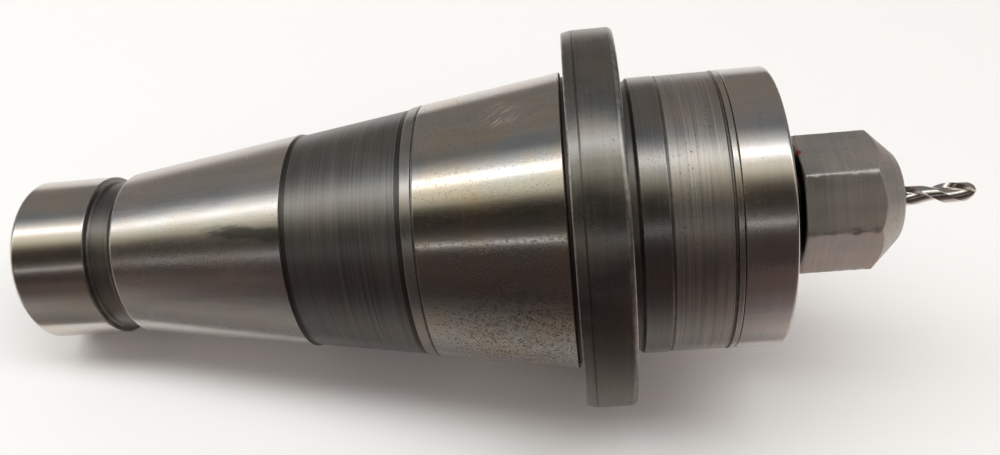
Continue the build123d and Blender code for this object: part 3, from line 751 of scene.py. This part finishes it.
def sleeve_inside():
    """Rows of the sleeve's mouth, bore, screwed neck and rear face, from the front round to the flats."""
    return rounded_rows([
        (SLEEVE_FRONT, MOUTH_R, 0.15, "collet"),
        (SLEEVE_FRONT - 0.3, MOUTH_R, 0.0, "bore"),
        (BORE_FRONT, BORE_R + 0.04, 0.0, "bore"),
        (SLEEVE_BACK_END, BORE_R, 0.0, "bore"),
        (SLEEVE_BACK_END, NECK_THREAD_R - 0.8, 0.1, "thread"),
        (SLEEVE_BACK_END + 0.8, NECK_THREAD_R, 0.1, "thread"),
        # From here to the rear face the neck and rear face take the near-black painted-shade finish.
        (SLEEVE_REAR_FACE - 3.6, NECK_THREAD_R, 0.1, "sleeve_back"),
        (SLEEVE_REAR_FACE - 3.0, NECK_UNDERCUT_R, 0.3, "sleeve_back"),
        (SLEEVE_REAR_FACE, NECK_UNDERCUT_R, 0.3, "sleeve_back"),
        (SLEEVE_REAR_FACE, SLEEVE_INRADIUS - 0.5, 0.0, "sleeve"),
    ], {"thread": 0.25, "bore": 12.0}, closed=False)


def sleeve_nose(corner_r):
    """Rows (x, radius) of the nose cone, its rounded front edge and the front face."""
    corner = np.array([SLEEVE_FRONT, corner_r - CONE_SLOPE * (SLEEVE_FRONT - SLEEVE_CORNER_END)])
    up_cone = np.array([-1.0, CONE_SLOPE]) / np.hypot(1, CONE_SLOPE)
    start = corner + up_cone * NOSE_ROUND
    end = corner + np.array([0.0, -NOSE_ROUND])
    rows = []
    for x in np.linspace(NOSE_ROWS, start[0], 12)[:-1]:
        rows.append((x, corner_r - CONE_SLOPE * (x - SLEEVE_CORNER_END)))
    for t in np.linspace(0, 1, 17):
        point = (1 - t) ** 2 * start + 2 * t * (1 - t) * corner + t * t * end
        rows.append((point[0], point[1]))
    rows.append((SLEEVE_FRONT, MOUTH_R + 0.6))
    return rows


def draw_nicks(rng):
    """Nicks on the sleeve's corners: place along X, angle of the corner, length and depth."""
    nicks = []
    for _ in range(NICKS):
        x = rng.uniform(58.3, 73.6)
        angle = rng.integers(OCTAGON_SIDES) * pi / 4 + pi / 8
        nicks.append((x, angle, rng.uniform(0.15, 0.9), rng.uniform(0.03, 0.16)))
    return nicks


def make_sleeve():
    """Eight-sided locking sleeve: octagon cut by a nose cone, with a threaded neck behind it."""
    nicks = draw_nicks(np.random.default_rng(31))
    angle = sleeve_angles()
    corner_r = SLEEVE_INRADIUS / cos(pi / OCTAGON_SIDES)
    cone_top = corner_r + CONE_SLOPE * (SLEEVE_CORNER_END - SLEEVE_REAR_FACE)
    outer = [(SLEEVE_REAR_FACE + x, -drop) for x, drop in REAR_EDGE]
    outer += [(x, 0.0) for x in np.arange(SLEEVE_REAR_FACE + 0.5, CLOSE_ROWS, 0.33)]
    outer += [(x, 0.0) for x in np.arange(CLOSE_ROWS, NOSE_ROWS - 0.1, 0.11)]

    flat_r, corner_share = octagon_radius(angle, SLEEVE_INRADIUS)
    xs, radii, finishes, edges = [], [], [], []
    for x, drop in outer:
        turned = cone_top - CONE_SLOPE * (x - SLEEVE_REAR_FACE)
        rear = corner_r - REAR_CHAMFER + REAR_CHAMFER_SLOPE * (x - SLEEVE_REAR_FACE)
        radius = soft_min(soft_min(flat_r, turned, EDGE_SOFTNESS), rear, 0.15) + drop
        for nick_x, nick_angle, long, deep in nicks:
            around = (angle - nick_angle + pi) % FULL_TURN - pi
            radius = radius - deep * np.exp(-((x - nick_x) / long) ** 2 - (around * corner_r / 0.45) ** 2)
        crease = np.exp(-(np.abs(flat_r - turned) / CREASE_WEAR) ** 2)
        worn = np.maximum(corner_share * (turned > flat_r - 0.1), 0.8 * crease)
        if x < SLEEVE_REAR_FACE + REAR_WEAR:
            worn = np.maximum(worn, 0.7)
        xs.append(np.full_like(angle, x))
        radii.append(radius)
        finishes.append("sleeve")
        edges.append(worn)
    for x, turned in sleeve_nose(corner_r):
        xs.append(np.full_like(angle, x))
        radii.append(soft_min(flat_r, np.full_like(angle, turned), EDGE_SOFTNESS))
        finishes.append("sleeve")
        edges.append(np.zeros_like(angle))
    for x, r, finish, edge in sleeve_inside():
        row = np.full_like(angle, r)
        if finish == "thread" and edge == 0.0:
            row -= SLEEVE_THREAD_DEPTH * screw_wave(x, angle, SLEEVE_PITCH)
        xs.append(np.full_like(angle, x))
        radii.append(row)
        finishes.append(finish)
        edges.append(np.full_like(angle, edge))
    x = np.array(xs)
    radius = np.array(radii)
    piece = new_piece("octagon_sleeve", x, radius * np.cos(angle), radius * np.sin(angle), finishes,
                      np.array(edges), closed=True)
    return place_piece(piece, "sleeve", "sleeve_steel", "locking_sleeve")


# ---------------------------------------------------------------- ball-nosed end mill

FLUTES = 2
CORE = 0.50            # web radius over the cutter's radius
LAND = radians(62)     # angle that one tooth's land covers
RAKE = radians(16)     # angle over which the rake face drops to the web
FLUTE_PHASE = radians(-24)
FLUTE_RUN_OUT = 2.4    # length over which the flutes reach their full depth
MILL_CONE_BACK = 81.1  # cone from the thick shank down to the cutter
MILL_CONE_FRONT = 82.0
TAIL_CHAMFER = 0.3


def tooth_shape(angle):
    """Radius of the fluted section over the cutter's; each tooth's cutting edge is at its angle 0."""
    spacing = FULL_TURN / FLUTES
    ahead = angle % spacing
    behind = spacing - ahead
    rake = CORE + (1 - CORE) * np.clip(1 - ahead / RAKE, 0, 1) ** 1.6
    rise = np.clip((ahead - RAKE) / (spacing - LAND - RAKE), 0, 1)
    back = CORE + (0.93 - CORE) * rise ** 1.8
    land = 1.0 - 0.07 * np.clip(behind / LAND, 0, 1) ** 0.8
    on_land = behind < LAND
    return np.where(on_land, land, np.where(ahead < RAKE, rake, back))


def make_cutter():
    """Two-flute ball-nosed end mill: plain shank, cone, run-out, right-hand flutes and ball."""
    spacing = FULL_TURN / FLUTES
    near_edge = np.linspace(0, RAKE, 14, endpoint=False)
    valley = np.linspace(RAKE, spacing - LAND, 40, endpoint=False)
    land = np.linspace(spacing - LAND, spacing, 26, endpoint=False)
    one = np.concatenate([near_edge, valley, land])
    angle = np.concatenate([one + k * spacing for k in range(FLUTES)])
    ball_x = MILL_TIP - MILL_R
    rows = [(MILL_BACK, MILL_SHANK_R - TAIL_CHAMFER, 0.0), (MILL_BACK + TAIL_CHAMFER, MILL_SHANK_R, 0.0),
            (MILL_SHANK_MIDDLE, MILL_SHANK_R, 0.0), (MILL_CONE_BACK - 0.05, MILL_SHANK_R, 0.0),
            (MILL_CONE_BACK + 0.05, MILL_SHANK_R - 0.04, 0.0), (MILL_CONE_FRONT - 0.05, MILL_R + 0.04, 0.0),
            (MILL_CONE_FRONT + 0.05, MILL_R, 0.0)]
    for x in np.arange(FLUTE_START, ball_x, 0.14):
        depth = np.clip((x - FLUTE_START) / FLUTE_RUN_OUT, 0, 1)
        rows.append((x, MILL_R, depth * depth * (3 - 2 * depth)))
    for t in np.linspace(0.0, 0.985, 34) ** 0.75:
        rows.append((ball_x + MILL_R * sin(t * pi / 2), MILL_R * cos(t * pi / 2), 1.0))
    xs, ys, zs = [], [], []
    for x, envelope, depth in rows:
        twist = FULL_TURN * x / FLUTE_LEAD + FLUTE_PHASE
        shape = 1 + depth * (tooth_shape(angle) - 1)
        radius = envelope * shape
        xs.append(np.full_like(angle, x))
        ys.append(radius * np.cos(angle + twist))
        zs.append(radius * np.sin(angle + twist))
    piece = new_piece("ball_nose_cutter", np.array(xs), np.array(ys), np.array(zs), ["cutter"] * len(rows),
                      np.zeros((len(rows), len(angle))), caps=(True, True))
    piece.data.set_sharp_from_angle(angle=radians(35))
    return place_piece(piece, "cutter", "cutter_steel", "end_mill")


# ---------------------------------------------------------------- centre spring

SPRING_WIRE_R = 0.4
SPRING_TURNS = 4
COIL_STEPS = 48        # rows in one turn
WIRE_SIDES = 16


def make_spring():
    """Round-wire coil behind the locating centre."""
    back, front = node_x("centre_spring")
    coil_r = node_radius("centre_spring") - SPRING_WIRE_R
    run = front - back - 2 * SPRING_WIRE_R
    turn = np.linspace(0, SPRING_TURNS * FULL_TURN, SPRING_TURNS * COIL_STEPS + 1)[:, None]
    around = (np.arange(WIRE_SIDES) / WIRE_SIDES * FULL_TURN)[None, :]
    rise = run / (SPRING_TURNS * FULL_TURN)
    lean = rise / np.hypot(rise, coil_r)
    out = SPRING_WIRE_R * np.cos(around)
    across = SPRING_WIRE_R * np.sin(around)
    x = back + SPRING_WIRE_R + rise * turn + across * np.sqrt(1 - lean * lean)
    y = (coil_r + out) * np.cos(turn) + across * lean * np.sin(turn)
    z = (coil_r + out) * np.sin(turn) - across * lean * np.cos(turn)
    rows = len(turn)
    piece = new_piece("coil_spring", x, y, z, ["spring"] * rows, np.zeros(x.shape), caps=(True, True))
    place_piece(piece, "stop_carriage", "spring_steel", "centre_spring")
    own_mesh(piece)


# ---------------------------------------------------------------- CAD nodes that stay

CAD_FINISHES = {
    "collet": "collet",
    "extractor_ring": "spring",
    "drive_ring": "inner",
    "locating_centre": "inner",
    "stop_washer": "inner",
    "stop_screw": "screw",
    "ring_lock_screw": "screw",
    "lock_pad": "brass",
}


def refinish_cad_nodes():
    """Gives every CAD node that stays in view its own finish."""
    for node, key in CAD_FINISHES.items():
        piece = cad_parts[node]
        for place in piece.material_slots:
            place.material = finish_material(key)
        if not piece.material_slots:
            piece.data.materials.append(finish_material(key))


# ---------------------------------------------------------------- floor, light and camera

# Where the chuck rests, as (x, z): the flange's rim and the pilot's edge.
FLOOR_TOUCHES = ((FLANGE_BACK + BACK_CHAMFER, -FLANGE_R), (SHANK_BACK + PILOT_CHAMFER, -PILOT_R))
FLOOR_SIZE = 8.0       # metres
FLOOR_GRID = 40
FLOOR_GAP = 0.05


def make_floor():
    """Pale table top under the flange's rim and the pilot's edge, so it slopes in the chuck's frame."""
    (x1, z1), (x2, z2) = FLOOR_TOUCHES
    slope = atan2(z1 - z2, x1 - x2)
    bpy.ops.mesh.primitive_grid_add(x_subdivisions=FLOOR_GRID, y_subdivisions=FLOOR_GRID, size=FLOOR_SIZE)
    floor = bpy.context.object
    floor.name = "table_top"
    floor.rotation_euler = (0.0, -slope, 0.0)
    floor.location = (x1 * MM, 0.0, (z1 - FLOOR_GAP) * MM)
    material, graph = new_material("table top")
    graph.shader.inputs["Base Color"].default_value = (0.93, 0.925, 0.905, 1.0)
    graph.shader.inputs["Roughness"].default_value = 0.6
    graph.shader.inputs["Specular IOR Level"].default_value = 0.25
    floor.data.materials.append(material)
    return floor


LIGHT_DISTANCE = 1.2   # metres, as are the lights' sizes
LIGHT_LENGTH = 3.0


def strip_light(name, elevation, width, radiance, colour=(1.0, 1.0, 1.0)):
    """A long area light parallel to X, at an elevation measured from -Y through +Z, facing the chuck."""
    light = bpy.data.lights.new(name, "AREA")
    light.shape = "RECTANGLE"
    light.size = LIGHT_LENGTH
    light.size_y = width
    light.energy = radiance * pi * LIGHT_LENGTH * width
    light.color = colour
    lamp = bpy.data.objects.new(name, light)
    towards = Vector((0.0, -cos(radians(elevation)), sin(radians(elevation))))
    lamp.location = towards * LIGHT_DISTANCE
    side = Vector((1.0, 0.0, 0.0))
    lamp.rotation_euler = Matrix((side, towards.cross(side), towards)).transposed().to_euler()
    bpy.context.scene.collection.objects.link(lamp)
    return lamp


# Painted reflection: the glowing card's tones, darker towards the table's near edge: y, height, colour.
CARD_TONES = (
    (-27.0, 0.3, (0.20, 0.185, 0.175)),
    (-50.0, 0.5, (0.33, 0.31, 0.29)),
    (-85.0, 0.5, (0.19, 0.17, 0.16)),
    (-120.0, 0.5, (0.095, 0.083, 0.079)),
    (-200.0, 0.5, (0.052, 0.041, 0.037)),
    (-240.0, 60.0, (0.055, 0.041, 0.037)),
)
# How much lighter it is along X: x, colour factor.
CARD_ENDS = (
    (-700.0, (2.1, 2.1, 2.1)),
    (-230.0, (2.1, 2.1, 2.1)),
    (-150.0, (0.9, 0.9, 0.9)),
    (-50.0, (1.0, 1.0, 1.0)),
    (40.0, (1.0, 1.0, 1.0)),
    (75.0, (2.4, 2.25, 2.3)),
    (700.0, (2.4, 2.25, 2.3)),
)


def make_card(floor):
    """A glowing card along the -Y side, seen only in reflections: a painted reflection of the table growing
    dark towards its near edge.
    """
    rows = len(CARD_TONES)
    columns = len(CARD_ENDS)
    corners = [(x, y, height) for y, height, _ in CARD_TONES for x, _ in CARD_ENDS]
    faces = [(k * columns + j, k * columns + j + 1, (k + 1) * columns + j + 1, (k + 1) * columns + j)
             for k in range(rows - 1) for j in range(columns - 1)]
    mesh = bpy.data.meshes.new("shade_card")
    mesh.from_pydata([floor.matrix_basis @ (Vector(corner) * MM) for corner in corners], [], faces)
    tones = mesh.attributes.new("tone", "FLOAT_COLOR", "POINT")
    for k, (_, _, colour) in enumerate(CARD_TONES):
        for j, (_, factor) in enumerate(CARD_ENDS):
            tones.data[k * columns + j].color = [a * b for a, b in zip(colour, factor)] + [1.0]
    # The card's colour is emitted light, a glowing painted reflection and not a lamp.
    material, graph = new_material("shade card")
    graph.shader.inputs["Base Color"].default_value = (0.0, 0.0, 0.0, 1.0)
    graph.shader.inputs["Specular IOR Level"].default_value = 0.0
    graph.shader.inputs["Emission Strength"].default_value = 1.0
    shown = graph.node("ShaderNodeAttribute", attribute_name="tone")
    graph.put(shown.outputs["Color"], graph.shader.inputs["Emission Color"])
    mesh.materials.append(material)
    card = bpy.data.objects.new("shade_card", mesh)
    bpy.context.scene.collection.objects.link(card)
    card.visible_camera = False
    card.visible_diffuse = False
    card.visible_shadow = False


FILL_COLOUR = (0.42, 0.375, 0.365, 1.0)
BACKDROP_COLOUR = (0.93, 0.925, 0.90, 1.0)
# What polished steel sees round the X axis: elevation from -Y through +Z in degrees, then its colour.
ROOM_TONES = (
    (0.0, (0.055, 0.041, 0.037)),
    (30.0, (0.055, 0.043, 0.037)),
    (37.0, (0.115, 0.10, 0.088)),
    (41.0, (0.085, 0.074, 0.062)),
    (47.0, (0.034, 0.029, 0.022)),
    (60.0, (0.030, 0.026, 0.019)),
    (66.0, (0.10, 0.088, 0.062)),
    (71.0, (0.50, 0.46, 0.35)),
    (76.0, (0.84, 0.79, 0.62)),
    (84.0, (0.95, 0.93, 0.80)),
    (88.0, (1.20, 1.19, 1.12)),
    (95.0, (1.30, 1.30, 1.28)),
    (99.0, (0.75, 0.77, 0.78)),
    (104.0, (0.40, 0.42, 0.43)),
    (110.0, (0.155, 0.18, 0.20)),
    (128.0, (0.24, 0.225, 0.208)),
    (180.0, (0.225, 0.207, 0.192)),
)


def background(graph, colour):
    """A plain background of one colour, or of the colour of another node."""
    made = graph.node("ShaderNodeBackground")
    graph.put(colour, made.inputs["Color"])
    return made.outputs[0]


def chosen(graph, is_ray, otherwise, shown):
    """One background for a kind of ray and another for the rest."""
    made = graph.node("ShaderNodeMixShader")
    for value, socket in zip((is_ray, otherwise, shown), made.inputs):
        graph.put(value, socket)
    return made.outputs[0]


def make_room():
    """World: pale for the camera, soft fill for the table, and a banded room for reflections."""
    world = bpy.data.worlds.new("room")
    bpy.context.scene.world = world
    world.use_nodes = True
    world.node_tree.nodes.clear()
    graph = Graph(world.node_tree)
    split = graph.node("ShaderNodeSeparateXYZ")
    graph.put(graph.node("ShaderNodeTexCoord").outputs["Generated"], split.inputs[0])
    towards_front = graph.math("MULTIPLY", split.outputs["Y"], -1.0)
    angle = graph.math("ARCTAN2", split.outputs["Z"], towards_front)
    tones = graph.node("ShaderNodeValToRGB")
    graph.put(graph.math("DIVIDE", angle, pi, clamp=True), tones.inputs[0])
    tones.color_ramp.interpolation = "EASE"
    elements = tones.color_ramp.elements
    elements.remove(elements[0])
    elements[0].position = 0.0
    elements[0].color = ROOM_TONES[0][1] + (1.0,)
    for elevation, colour in ROOM_TONES[1:]:
        elements.new(elevation / 180).color = colour + (1.0,)
    path = graph.node("ShaderNodeLightPath").outputs
    banded = background(graph, tones.outputs[0])
    seen = chosen(graph, path["Is Glossy Ray"], background(graph, FILL_COLOUR), banded)
    seen = chosen(graph, path["Is Camera Ray"], seen, background(graph, BACKDROP_COLOUR))
    graph.put(seen, graph.node("ShaderNodeOutputWorld").inputs[0])


CAMERA_PLACE = Vector((8.501, -147.426, 158.095))
CAMERA_TARGET = Vector((-12.072, -4.636, -4.323))
CAMERA_ROLL = radians(10.274)
CAMERA_LENS = 31.793
CAMERA_SHIFT_Y = 0.02463


def make_camera():
    """Camera close above the chuck, on the -Y side."""
    camera = bpy.data.objects.new("camera", bpy.data.cameras.new("camera"))
    bpy.context.scene.collection.objects.link(camera)
    forward = (CAMERA_TARGET - CAMERA_PLACE).normalized()
    level = forward.cross(Vector((0, 0, 1))).normalized()
    above = level.cross(forward)
    right = level * cos(CAMERA_ROLL) - above * sin(CAMERA_ROLL)
    up = right.cross(forward)
    turn = Matrix((right, up, -forward)).transposed().to_4x4()
    camera.matrix_world = Matrix.Translation(CAMERA_PLACE * MM) @ turn
    camera.data.lens = CAMERA_LENS
    camera.data.sensor_width = 36.0
    camera.data.shift_y = CAMERA_SHIFT_Y
    camera.data.clip_start = 0.01
    camera.data.clip_end = 20.0
    bpy.context.scene.camera = camera


make_camera()
make_card(make_floor())
make_room()
strip_light("overhead_panel", elevation=89.5, width=0.11, radiance=2.3)
strip_light("side_tube", elevation=34.4, width=0.042, radiance=1.3)
table_light = strip_light("table_light", elevation=91.0, width=0.45, radiance=3.85, colour=(0.96, 1.0, 1.0))
table_light.visible_glossy = False
bpy.context.scene.view_settings.view_transform = "Standard"

make_shank()
make_flange()
make_nose_ring()
make_sleeve()
make_cutter()
make_spring()
refinish_cad_nodes()
